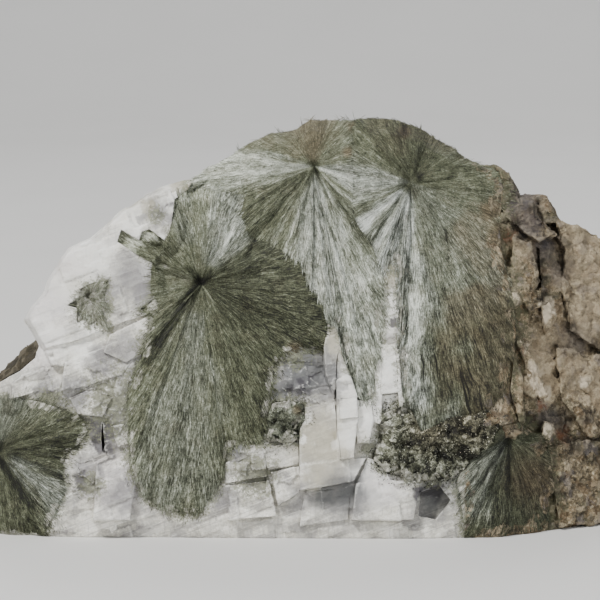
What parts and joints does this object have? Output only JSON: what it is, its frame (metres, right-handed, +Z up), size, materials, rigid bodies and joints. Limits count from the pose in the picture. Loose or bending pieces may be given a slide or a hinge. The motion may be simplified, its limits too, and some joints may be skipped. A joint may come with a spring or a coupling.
{
  "type": "hedenbergite specimen",
  "caption": "Rough hedenbergite specimen: radiating sprays of green-grey fibrous crystals on white cleavable calcite, backed by brown skarn wall rock and cut flat underneath.",
  "frame": {"origin": "middle of the specimen's bounding box, on the plane of its flat base", "axes": "+X to the right as the sprays are looked at, +Y into the rock away from the sprays, +Z up from the flat base"},
  "size_m": [0.138, 0.0654, 0.0826],
  "materials": {
    "calcite": "satin",
    "skarn": "matte",
    "hedenbergite_spray_left": "satin",
    "hedenbergite_spray_middle": "satin",
    "hedenbergite_spray_right": "satin",
    "hedenbergite_spray_lower_left": "satin",
    "hedenbergite_spray_lower_right": "satin",
    "hedenbergite_tuft": "satin",
    "dark_crust": "matte",
    "green_patch": "matte"
  },
  "bodies": {
    "root": {"calcite_vein": "calcite", "skarn_wall": "skarn", "hedenbergite_spray_left": "hedenbergite_spray_left", "hedenbergite_spray_middle": "hedenbergite_spray_middle", "hedenbergite_spray_right": "hedenbergite_spray_right", "hedenbergite_spray_lower_left": "hedenbergite_spray_lower_left", "hedenbergite_spray_lower_right": "hedenbergite_spray_lower_right", "hedenbergite_tuft": "hedenbergite_tuft", "dark_crust": "dark_crust", "green_patch": "green_patch"}
  },
  "joints": []
}
